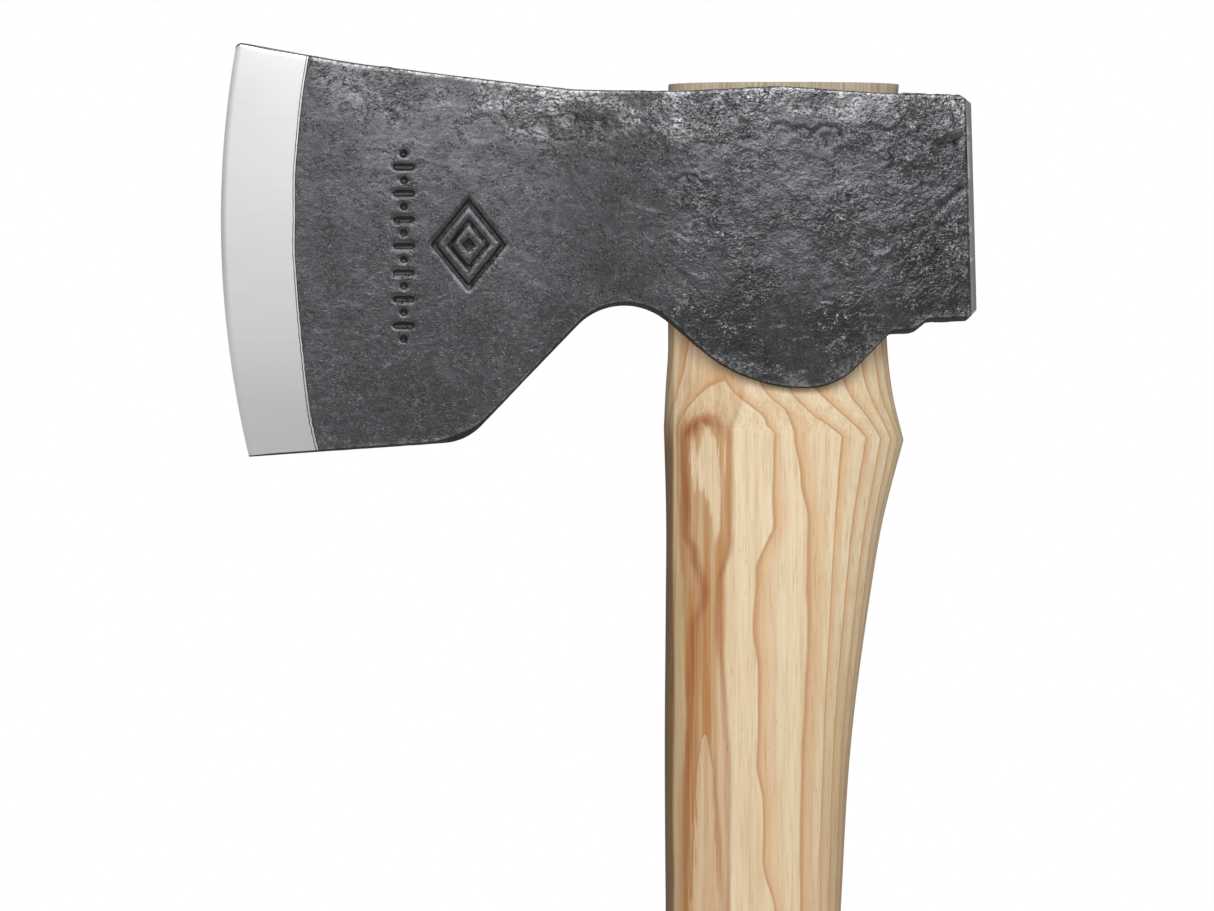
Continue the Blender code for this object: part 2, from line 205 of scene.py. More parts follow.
# Grain lines of the handle's front, as (z, x) places from the shoulder downwards.
INNER_GRAIN = [
    (331.7, -3.9), (325.1, 2.4), (322.3, 4.1), (303.6, 4.1), (292.6, 0.2), (280.0, -0.7),
    (271.0, 0.5), (258.0, 0.5), (250.0, 0.0), (243.0, 1.3), (230.5, 1.3), (217.8, 4.6),
]
OUTER_GRAIN = [(331.4, 5.7), (322.0, 8.4), (313.0, 9.6), (303.0, 11.5), (285.0, 11.4), (222.0, 9.8)]
RED_GRAIN = [
    (330.0, -14.4), (322.0, -15.4), (301.0, -14.9), (296.6, -13.2), (288.0, -11.0), (279.4, -13.0),
    (259.6, -14.6), (242.0, -15.3), (218.0, -15.8),
]
SIDE_GRAIN = [(300.0, -5.0), (288.0, -8.1), (282.0, -8.1), (268.0, -6.8), (250.0, -6.0)]
HEART_START = [(323.0, -16.8), (300.0, -16.5), (287.0, -15.6), (262.0, -15.3), (230.0, -15.9)]
HEART_END = [(331.0, -2.5), (323.0, -4.8), (300.0, -4.9), (293.0, -6.2), (270.0, -6.4), (250.0, -5.4)]

# Growth rings of the wood, and what stands out in its heart: pale ovals as (centre, radii), and a pale flame.
RING_SPACING = 2.15
RING_START = 12.9
PALE_PHASE = 0.35
ISLAND = ((-10.4, 316.0), (3.5, 7.5))
ISLAND_ARCH = ((-10.4, 318.0), (5.4, 7.4))
STRIP = ((-8.7, 309.0), (1.1, 11.0))
FLAME_X = -11.0
FLAME_TIP_Z = 257.0

# Colours of the steel.
# Dark scale of the cracked patches; the same colour is painted shade in the pits of the relief.
SOOT_AND_PIT_SHADE = (0.014, 0.014, 0.016)
CRACK = (0.01, 0.01, 0.012)
# Painted shade inside the punch marks.
PUNCH_SHADE = (0.01, 0.01, 0.011)
SCALE_DARK = (0.058, 0.0595, 0.064)
SCALE_LIGHT = (0.092, 0.0945, 0.101)
SCALE_SPOT = (0.02, 0.021, 0.023)
SCALE_GREY = (0.2, 0.204, 0.21)
# Painted shade for the coarse scale low on the cheek.
LOW_SCALE_SHADE = (0.016, 0.0165, 0.018)
PEPPER_DARK = (0.012, 0.0125, 0.014)
PEPPER_LIGHT = (0.36, 0.365, 0.375)
SILVER = (0.42, 0.424, 0.43)
GLINT = (0.48, 0.485, 0.495)
SCRATCH = (0.32, 0.325, 0.335)
# Rubbed steel on the cheeks' edges, which is also a painted edge highlight.
WEAR_AND_HIGHLIGHT = (0.5, 0.5, 0.5)

# Colours of the handle's wood.
PALE_WOOD = (0.79, 0.65, 0.44)
PALE_STREAK = (0.70, 0.53, 0.33)
LATE_WOOD = (0.68, 0.455, 0.255)
RING_LINE = (0.46, 0.225, 0.09)
HEARTWOOD = (0.43, 0.185, 0.05)
HEART_RIM = (0.37, 0.135, 0.04)
RED_LINE = (0.3, 0.085, 0.025)
LEFT_TINT = (0.45, 0.29, 0.13)
# Painted shade down the handle's left edge.
PAINTED_EDGE_SHADE = (0.15, 0.075, 0.037)
RIGHT_TINT = (0.5, 0.32, 0.15)
LOWER_TINT = (0.4, 0.26, 0.14)
FIBRE = (0.42, 0.25, 0.12)
SPECK = (0.45, 0.3, 0.17)
PORE = (0.16, 0.08, 0.04)
WEATHERED = ((0.58, 0.5, 0.4), (0.34, 0.25, 0.17))

# ------------ shape formulas

def unit(vector):
    """Return the vector scaled to length one."""
    return vector / np.linalg.norm(vector)


def filleted(corners):
    """Turn (x, z, radius) corners into a polyline whose inner corners are rounded by arcs."""
    points = [np.array(corners[0][:2])]
    for before, corner, after in zip(corners, corners[1:], corners[2:]):
        here = np.array(corner[:2])
        back = unit(np.array(before[:2]) - here)
        ahead = unit(np.array(after[:2]) - here)
        half_angle = math.acos(float(back @ ahead)) / 2
        reach = corner[2] / math.tan(half_angle)
        centre = here + unit(back + ahead) * corner[2] / math.sin(half_angle)
        start = unit(here + back * reach - centre)
        end = unit(here + ahead * reach - centre)
        for share in np.linspace(0.0, 1.0, ARC_STEPS + 1):
            points.append(centre + unit(start * (1 - share) + end * share) * corner[2])
    points.append(np.array(corners[-1][:2]))
    return np.array(points)


TOP_LINE = filleted(TOP_OUTLINE)
UNDER_LINE = filleted(UNDERSIDE)


def smoothstep(value, low, high):
    """Ease from 0 at low to 1 at high."""
    share = np.clip((value - low) / (high - low), 0.0, 1.0)
    return share * share * (3 - 2 * share)


def noise_at(points, scale, seed):
    """Smooth noise between about -1 and 1 at each point, with features of the given size."""
    shift = Vector((seed * 13.7, seed * 7.3, seed * 5.1))
    scaled = np.asarray(points) / scale
    return np.array([noise.noise(Vector(p) + shift) for p in scaled])


def grind_wander(z):
    """How far the grind line strays along X: narrower at the heel, with small nicks low down."""
    z = np.atleast_1d(z)
    line = np.stack([np.zeros_like(z), np.zeros_like(z), z], axis=1)
    slow = noise_at(line, 9.0, 3)
    fine = noise_at(line, 1.1, 4)
    low_down = smoothstep(z, 365.0, 325.0)
    return -1.2 * smoothstep(z, 350.0, 320.0) + 0.22 * slow + (0.06 + 0.16 * low_down) * fine


def station_x(station, z):
    """X of the station curve at height z: an arc near the edge, upright inside, leaning at the poll."""
    z = np.asarray(z, float)
    radius = EDGE_RADIUS - (station - EDGE_X)
    sag = radius - np.sqrt(radius ** 2 - (z - EDGE_CENTRE_Z) ** 2)
    arc_share = 1 - smoothstep(station, SKIN_START_X, BEARD_X)
    lean_share = smoothstep(station, POLL_LEAN_START_X, SKIN_END_X)
    near_grind = max(1 - abs(station - GRIND_X) / GRIND_WANDER_REACH, 0.0)
    x = station + sag * arc_share - POLL_LEAN * (z - POLL_MIDDLE_Z) * lean_share
    if near_grind > 0:
        x = x + grind_wander(z).reshape(z.shape) * near_grind
    return x


def end_of_station(station, line):
    """Height where a station curve meets an outline."""
    z = float(np.interp(station, line[:, 0], line[:, 1]))
    for _ in range(MEETING_STEPS):
        z = float(np.interp(float(station_x(station, z)), line[:, 0], line[:, 1]))
    return z


def forged_half(x, z):
    """Half thickness of the forged body, before grinding."""
    blade = BLADE_HALF + BLADE_TAPER * (x - GRIND_X)
    body = BODY_HALF - BODY_FALLOFF * (x - BODY_CENTRE_X) ** 2
    neck = smoothstep(x, NECK_START_X, NECK_END_X)
    forged = blade + (body - blade) * neck
    crown = CROWN * (0.5 - ((z - CROWN_MIDDLE_Z) / CROWN_REACH) ** 2)
    forged = forged + crown * smoothstep(x, GRIND_X + 1.0, GRIND_X + 16.0)
    below = np.maximum(LOBE_START_Z + LOBE_EASE - z, 0.0)
    return forged - LOBE_THINNING * below ** 2 / (below + 2 * LOBE_EASE) * neck


def ground_half(x, z):
    """Half thickness of the ground bevel."""
    from_centre = np.hypot(x - EDGE_X - EDGE_RADIUS, z - EDGE_CENTRE_Z)
    return EDGE_HALF_LAND + np.maximum(EDGE_RADIUS - from_centre, 0.0) * BEVEL_SLOPE


def half_thickness(station, x, z):
    """Half thickness of the head on one station curve."""
    past_grind = station - GRIND_X
    ground = np.minimum(ground_half(x, z), forged_half(x, z))
    if past_grind <= 0:
        return ground
    lip = np.minimum(ground_half(x - past_grind, z) + past_grind * BEVEL_SLOPE, forged_half(x, z))
    share = smoothstep(past_grind, LIP_WIDTH - LEDGE_WIDTH, LIP_WIDTH)
    return lip + (forged_half(x, z) - lip) * share


# ------------ meshes

def mesh_object(name, points, faces):
    """Make an object from millimetre points."""
    mesh = bpy.data.meshes.new(name)
    mesh.from_pydata((np.asarray(points) * MM).tolist(), [], faces)
    mesh.update()
    made = bpy.data.objects.new(name, mesh)
    bpy.context.scene.collection.objects.link(made)
    return made


def loft_faces(ring_count, ring_size):
    """Quads that join neighbouring rings of a loft and face outward, as an array of corner numbers."""
    ring, point = np.meshgrid(np.arange(ring_count - 1), np.arange(ring_size), indexing="ij")
    following = (point + 1) % ring_size
    low = ring * ring_size
    high = low + ring_size
    quads = np.stack([low + point, low + following, high + following, high + point], axis=-1)
    return quads.reshape(-1, 4)


def grid_normals(grid):
    """Outward normals of a lofted grid of shape (rings, points, 3)."""
    along = np.gradient(grid, axis=0)
    around = np.roll(grid, -1, axis=1) - np.roll(grid, 1, axis=1)
    normals = np.cross(around, along)
    lengths = np.linalg.norm(normals, axis=2, keepdims=True)
    return normals / np.maximum(lengths, 1e-9)


def set_attributes(target, **named_values):
    """Store one number for each vertex under each name."""
    for name, values in named_values.items():
        attribute = target.data.attributes.new(name, "FLOAT", "POINT")
        attribute.data.foreach_set("value", np.asarray(values, np.float32))


def shade(target, angle):
    """Shade smooth, with edges sharper than the angle kept crisp."""
    target.data.polygons.foreach_set("use_smooth", [True] * len(target.data.polygons))
    target.data.set_sharp_from_angle(angle=math.radians(angle))


def cut(target, cutter):
    """Subtract the cutter from the target, weld what the cut left nearly touching, delete the cutter."""
    modifier = target.modifiers.new("cut", "BOOLEAN")
    modifier.operation = "DIFFERENCE"
    modifier.solver = "EXACT"
    modifier.object = cutter
    bpy.context.view_layer.update()
    evaluated = target.evaluated_get(bpy.context.evaluated_depsgraph_get())
    result = bpy.data.meshes.new_from_object(evaluated)
    clean = bmesh.new()
    clean.from_mesh(result)
    bmesh.ops.remove_doubles(clean, verts=clean.verts, dist=WELD)
    bmesh.ops.triangulate(clean, faces=[face for face in clean.faces if len(face.verts) > 4])
    bmesh.ops.dissolve_degenerate(clean, edges=clean.edges, dist=WELD)
    clean.to_mesh(result)
    clean.free()
    target.modifiers.clear()
    target.data = result
    bpy.data.objects.remove(cutter, do_unlink=True)


# ------------ head

def side_profile(half, draft):
    """Points from a cheek's edge to the parting line: (share of y, drop from the outline) pairs."""
    radius = min(EDGE_ROUNDING, 0.3 * half)
    points = []
    for angle in np.linspace(0.0, math.pi / 2, CORNER_POINTS):
        y = half - radius * (1 - math.cos(angle))
        points.append((y / half, draft + radius * (1 - math.sin(angle))))
    flat = (half - radius) / half
    for share in np.linspace(1.0, 0.0, DRAFT_POINTS + 1)[1:]:
        points.append((flat * share, draft * share ** 1.3))
    return np.array(points)


def cheek_shares(count):
    """Shares of the way down a cheek, closer together half way down where the punch marks are."""
    even = np.linspace(0.0, 1.0, count)
    return even + 0.035 * np.sin(4 * math.pi * even)


def head_ring(station):
    """One closed section of the head: from the top down the front cheek, and up the back one."""
    top = end_of_station(station, TOP_LINE)
    bottom = end_of_station(station, UNDER_LINE)
    middle = float(half_thickness(station, station, np.array(POLL_MIDDLE_Z)))
    beard = math.exp(-((station - BEARD_X) / BEARD_SPREAD) ** 2)
    upper = side_profile(middle, max(TOP_DRAFT * middle, LEAST_DRAFT))
    lower = side_profile(middle, max((UNDER_DRAFT + BEARD_DRAFT * beard) * middle, LEAST_DRAFT))
    chamfer = POLL_CHAMFER_DEPTH if station >= POLL_X else 0.0

    def points_at(z, share=1.0):
        """Points of this section at heights z, at a share of its half thickness."""
        x = station_x(station, z)
        half = np.maximum(half_thickness(station, x, z) - chamfer, LEAST_HALF)
        return np.stack([x, half * share, z], axis=1).tolist()

    def cheek(count):
        """Points down one cheek, between its rounded edges."""
        start, end = top - upper[0, 1], bottom + lower[0, 1]
        return points_at(start + (end - start) * cheek_shares(count + 2)[1:-1])

    above = points_at(top - upper[:, 1], upper[:, 0])
    below = points_at(bottom + lower[:, 1], lower[:, 0])
    ring = above[::-1] + cheek(FRONT_CHEEK_POINTS) + below[:-1]
    ring = [(x, -y, z) for x, y, z in ring]
    return ring + below[::-1] + cheek(BACK_CHEEK_POINTS)[::-1] + above[:-1]


def ring_shares(middle, draft, arc_above, arc_below):
    """One value for each point of a ring, given those of the parting line, draft faces and cheek edges."""
    above = [draft] * (DRAFT_POINTS - 1) + arc_above
    below = arc_below[::-1] + [draft] * (DRAFT_POINTS - 1)
    side_front = above + [0.0] * FRONT_CHEEK_POINTS + below
    side_back = below[::-1] + [0.0] * BACK_CHEEK_POINTS + above[::-1]
    return np.array([middle] + side_front + [middle] + side_back)


def head_stations():
    """Station positions from the cutting edge to the poll, and the material of the strip after each."""
    forged = np.linspace(SKIN_START_X, SKIN_END_X, int((SKIN_END_X - SKIN_START_X) / FORGED_STEP))
    bevel = EDGE_X + np.array(BEVEL_STEPS)
    stations = np.concatenate([bevel, GRIND_X + np.array(LIP_STEPS), forged, [POLL_X]])
    strips = np.full(len(stations) - 1, FORGED)
    strips[:len(bevel) + 3] = BEVEL
    strips[len(bevel)] = HAIRLINE
    strips[-1] = POLL
    return stations, strips


def distance_to_segment(x, z, start, end):
    """Distance from each point to a segment in the XZ plane."""
    start, end = np.array(start, float), np.array(end, float)
    run = end - start
    share = ((x - start[0]) * run[0] + (z - start[1]) * run[1]) / (run @ run)
    share = np.clip(share, 0.0, 1.0)
    return np.hypot(x - start[0] - share * run[0], z - start[1] - share * run[1])


def oval_reach(x, z, centre, radii):
    """Distance from a centre, 1 on the oval with the given radii."""
    return np.hypot((x - centre[0]) / radii[0], (z - centre[1]) / radii[1])


def punch_marks(x, z):
    """Share of the full depth of the punch marks at each point of the front cheek."""
    spread = np.abs(x - LOZENGE_X) / LOZENGE_HALF_WIDTH + np.abs(z - LOZENGE_Z) / LOZENGE_HALF_HEIGHT
    inside = (z > COLUMN_LOW_Z - COLUMN_OVER) & (z < COLUMN_HIGH_Z + COLUMN_OVER)
    bar_z = np.abs((z - COLUMN_LOW_Z) % COLUMN_PITCH - COLUMN_PITCH / 2)
    bar = np.hypot(np.maximum(np.abs(x - COLUMN_X) - BAR_REACH, 0), bar_z)
    dot = np.hypot(x - COLUMN_X, COLUMN_PITCH / 2 - bar_z)
    return 1 - np.minimum.reduce([
        smoothstep(np.abs(spread - 1.0), LOZENGE_LINE * 0.7, LOZENGE_LINE * 1.6),
        smoothstep(np.abs(spread - LOZENGE_INNER), LOZENGE_LINE * 0.5, LOZENGE_LINE * 1.3),
        smoothstep(spread, LOZENGE_DOT * 0.8, LOZENGE_DOT * 1.5),
        np.where(inside, smoothstep(bar, BAR_HALF * 0.7, BAR_HALF * 1.6), 1.0),
        np.where(inside, smoothstep(dot, DOT_RADIUS * 0.6, DOT_RADIUS * 1.3), 1.0),
    ])


def top_height(x):
    """Height of the top outline at x."""
    return np.interp(x, TOP_LINE[:, 0], TOP_LINE[:, 1])


def cracked_share(points):
    """Share of each point inside the listed cracked patches of the front cheek."""
    x, z = points[:, 0], points[:, 2]
    ragged = 0.35 * noise_at(points, 3.2, 12) + 0.25 * noise_at(points, 1.4, 13)
    share = np.zeros(len(points))
    for centre, radii in CRACKED:
        reach = oval_reach(x, z, centre, radii) + ragged
        share = np.maximum(share, smoothstep(reach, 1.05, 0.75))
    return share * (points[:, 1] < 0)


def coarseness(points):
    """How coarse the forged surface is: coarse round the eye, poll and top edge, fine on the blade."""
    x, z = points[:, 0], points[:, 2]
    eye = smoothstep(x, -38.0, -8.0)
    below_top = top_height(x) - z
    top_band = 1 - smoothstep(below_top, 2.0, 15.0)
    poll = smoothstep(x, 24.0, 40.0)
    patches = smoothstep(noise_at(points, 11.0, 11), -0.3, 0.35)
    lobe = smoothstep(z, 350.0, 336.0) * eye
    coarse = 0.18 + 0.4 * eye * (0.4 + 0.6 * patches) + 0.25 * top_band * patches + 0.2 * poll + 0.05 * lobe
    return np.clip(coarse + 0.34 * cracked_share(points) * (0.45 + 0.55 * eye), 0.0, 1.0)


def forging_relief(points, coarse):
    """Height of the forged surface over its smooth form."""
    x, z = points[:, 0], points[:, 2]
    broad = 0.12 * noise_at(points, 15.0, 21) + 0.06 * noise_at(points, 6.5, 22)
    ridges = 0.5 - np.abs(noise_at(points, 2.6, 23)) * 2
    leather = noise_at(points, 1.6, 24)
    fine = noise_at(points, 1.0, 26)
    scab = smoothstep(noise_at(points, 4.6, 25), 0.1, 0.15)
    coarse_height = 0.05 * ridges + 0.07 * leather + 0.07 * fine + 0.2 * scab
    height = broad * (0.3 + 0.7 * coarse) + coarse_height * coarse ** 1.2
    front = points[:, 1] < 0
    flake_noise, groove_noise = 0.25 * noise_at(points, 2.5, 27), 0.5 * noise_at(points, 2.2, 28)
    arch_noise, pit_noise = 0.4 * noise_at(points, 2.0, 29), 0.5 * noise_at(points, 1.5, 30)
    for centre, radii, depth in FLAKES:
        patch = smoothstep(oval_reach(x, z, centre, radii) + flake_noise, 0.98, 0.88) * front
        height = height * (1 - patch) - depth * patch
    for start, end, half, depth in GROOVES:
        away = distance_to_segment(x + groove_noise, z + groove_noise, start, end)
        height -= depth * smoothstep(away, 2.2 * half, 0.0) * front
    for centre, radius, depth in ARCHES:
        away = np.hypot(x - centre[0], z - centre[1]) + arch_noise
        above = smoothstep(z - centre[1], -0.3 * radius, 0.4 * radius)
        lip = smoothstep(np.abs(away - radius), 0.6, 0.0) * above
        bowl = smoothstep(away, radius, 0.4 * radius)
        height -= depth * (lip * 1.3 + bowl * 0.5) * front
    for centre, radius, depth in PITS:
        away = np.hypot(x - centre[0], z - centre[1]) + pit_noise
        height -= depth * smoothstep(away, radius, 0.2 * radius) * front
    return height


def silver_patches(points):
    """Where the scale has worn to bare silver: in patches along the top edge and over the poll."""
    x, z = points[:, 0], points[:, 2]
    below_top = top_height(x) - z
    over_eye = smoothstep(x, -8.0, 2.0)
    band = 1 - smoothstep(below_top, 3.0 - 2.0 * over_eye, 16.0 - 5.0 * over_eye)
    place = smoothstep(x, -66.0, -50.0)
    patches = smoothstep(noise_at(points, 7.0, 41) + 0.5 * noise_at(points, 2.0, 42), -0.25, 0.3)
    top = band * (0.2 + 0.8 * place) * (0.15 + 0.85 * patches) * (1 - 0.7 * cracked_share(points))
    lobe_rim = 1 - smoothstep(z - np.interp(x, UNDER_LINE[:, 0], UNDER_LINE[:, 1]), 0.5, 6.0)
    return np.maximum(top, 0.5 * lobe_rim * patches * smoothstep(x, -20.0, -10.0))


def build_head():
    """Loft the head, give it its forged relief and punch marks, and open its eye."""
    stations, strips = head_stations()
    grid = np.array([head_ring(station) for station in stations])
    rings, size = grid.shape[:2]
    points = grid.reshape(-1, 3)
    normals = grid_normals(grid).reshape(-1, 3)
    station_of = np.repeat(stations, size)
    forged = smoothstep(station_of, SKIN_START_X, SKIN_START_X + 1.5)
    forged *= 1 - smoothstep(station_of, SKIN_END_X - 0.4, SKIN_END_X)
    coarse = coarseness(points)
    marks = np.where(points[:, 1] < 0, punch_marks(points[:, 0], points[:, 2]), 0.0)
    height = forging_relief(points, coarse) * forged * (1 - marks) - MARK_DEPTH * marks
    # Rubbed wear along the cheeks' rounded edges, and a painted highlight there, strongest on the top edge.
    wear = ring_shares(0.0, 0.0, [0.0, 0.3, 1.0, 1.0, 0.8], [0.0, 0.0, 0.1, 0.3, 0.3])

    faces = loft_faces(rings, size).tolist()
    materials = np.repeat(strips, size).reshape(-1, size)
    # The draft faces round the outline get the shaded flank material, which is painted shade.
    flank_share = ring_shares(1.0, 1.0, [1.0, 0.5, 0.0, 0.0, 0.0], [1.0, 1.0, 0.7, 0.3, 0.0])
    on_flank = np.minimum(flank_share, np.roll(flank_share, -1)) > 0.6
    materials[np.ix_(strips != POLL, on_flank)] = SHADED_FLANK
    last = (rings - 1) * size
    faces += [list(range(size))[::-1], list(range(last, last + size))]
    head = mesh_object("forged_head", points + normals * height[:, None], faces)
    head.data.polygons.foreach_set("material_index", materials.ravel().tolist() + [BEVEL, POLL])
    set_attributes(
        head, relief=height, coarse=coarse * forged, cracked=cracked_share(points) * forged,
        wear=np.tile(wear, rings) * forged, silver=silver_patches(points) * forged)
    eye_heights = np.linspace(EYE_FLOOR_Z, TONGUE_TOP_Z, 40)
    cut(head, capped_loft("eye", oval_grid(eye_heights, EYE_GAP, False, 96)))
    return head


# ------------ handle and wedges

def section_at(sections, z):
    """Front x, back x and half thickness at z, eased through the listed sections."""
    table = np.array(sections)
    heights = table[:, 0]
    slopes = np.gradient(table[:, 1:], heights, axis=0)
    index = int(np.clip(np.searchsorted(heights, z) - 1, 0, len(heights) - 2))
    span = heights[index + 1] - heights[index]
    share = (z - heights[index]) / span
    start, end = table[index, 1:], table[index + 1, 1:]
    ease = share * share * (3 - 2 * share)
    leaving = share * (1 - share) ** 2 * span
    arriving = share * share * (share - 1) * span
    return start + (end - start) * ease + slopes[index] * leaving + slopes[index + 1] * arriving


def handle_section(z):
    """Front x, back x and half thickness of the handle at z."""
    return section_at(GRIP_SECTIONS if z < SHOULDER_Z else TONGUE_SECTIONS, z)


def oval_grid(heights, grow, tilted, count):
    """Superelliptic handle sections at the given heights, as a grid."""
    turn = np.linspace(0.0, 2 * math.pi, count, endpoint=False)
    across, through = np.cos(turn), np.sin(turn)
    wide = np.sign(across) * np.abs(across) ** (2 / SECTION_POWER)
    deep = np.sign(through) * np.abs(through) ** (2 / SECTION_POWER)
    rings = []
    for z in heights:
        front, back, half = handle_section(z)
        x = (front + back) / 2 + ((back - front) / 2 + grow) * wide
        y = (half + grow) * deep
        nearness = max(1 - abs(z - SHOULDER_Z) / TILT_REACH, 0.0) if tilted else 0.0
        rings.append(np.stack([x, y, z + SHOULDER_TILT * nearness * x], axis=1))
    return np.array(rings)


def capped_loft(name, grid):
    """Loft a grid of rings and close both ends."""
    rings, size = grid.shape[:2]
    faces = loft_faces(rings, size).tolist()
    last = (rings - 1) * size
    faces.append(list(range(size))[::-1])
    faces.append(list(range(last, last + size)))
    return mesh_object(name, grid.reshape(-1, 3), faces)


def slab(name, heights, halves, ends):
    """Upright slab with its own front x, back x and half thickness at every height."""
    grid = []
    for z, half, (front, back) in zip(heights, halves, ends):
        grid.append([(front, -half, z), (back, -half, z), (back, half, z), (front, half, z)])
    return capped_loft(name, np.array(grid))


def tube(name, outer, inner, floor, roof, count=96):
    """Upright tube on the ring's axis, as one closed ring of four walls."""
    turn = np.linspace(0.0, 2 * math.pi, count, endpoint=False)
    points = []
    for radius, z in ((outer, floor), (outer, roof), (inner, roof), (inner, floor)):
        points += [(RING_CENTRE_X + radius * math.cos(a), radius * math.sin(a), z) for a in turn]
    return mesh_object(name, points, (loft_faces(5, count) % len(points)).tolist())


def groove_cutter():
    """Round groove that the steel ring is driven into."""
    inner = RING_RADIUS - RING_WALL - GROOVE_GAP
    floor, roof = TONGUE_TOP_Z - RING_DEPTH - 1.0, TONGUE_TOP_Z + 2.0
    return tube("groove", RING_RADIUS + GROOVE_GAP, inner, floor, roof)


def build_handle():
    """Loft the handle finely and open its wedge slot and ring groove."""
    grip = np.arange(4.0, SHOULDER_Z - 4.0, HANDLE_STEP)
    shoulder = SHOULDER_Z + np.array(SHOULDER_STEPS)
    tongue = np.arange(SHOULDER_Z + 5.0, TONGUE_TOP_Z - 0.5, HANDLE_STEP)
    heights = np.concatenate([BUTT_STEPS, grip, shoulder, tongue, TONGUE_TOP_Z + np.array(TOP_STEPS)])
    grid = oval_grid(heights, 0.0, True, OVAL_POINTS)
    grid[-1] = grid[-1] * [1.0, 0.97, 1.0]
    handle = capped_loft("hickory_handle", grid)
    slope = (SLOT_TOP_HALF - SLOT_FLOOR_HALF) / (TONGUE_TOP_Z - SLOT_FLOOR_Z)
    slot_heights = [SLOT_FLOOR_Z, TONGUE_TOP_Z + OVER_TOP]
    slot_halves = [SLOT_FLOOR_HALF, SLOT_TOP_HALF + slope * OVER_TOP]
    cut(handle, slab("slot", slot_heights, slot_halves, [(-40.0, 50.0)] * 2))
    cut(handle, groove_cutter())
    return handle


def build_wedge():
    """Wooden wedge that fills the slot from end to end of the tongue."""
    heights = np.linspace(WEDGE_TIP_Z, TONGUE_TOP_Z, 12)
    halves = np.linspace(WEDGE_TIP_HALF, WEDGE_TOP_HALF, 12)
    ends = [handle_section(z)[:2] + [WEDGE_END_GAP, -WEDGE_END_GAP] for z in heights]
    wedge = slab("wedge_wood", heights, halves, ends)
    cut(wedge, groove_cutter())
    return wedge


def build_ring():
    """Steel ring driven into the tongue across the wedge."""
    floor = TONGUE_TOP_Z - RING_DEPTH
    return tube("ring_wedge_steel", RING_RADIUS, RING_RADIUS - RING_WALL, floor, TONGUE_TOP_Z + 0.15)


# ------------ materials

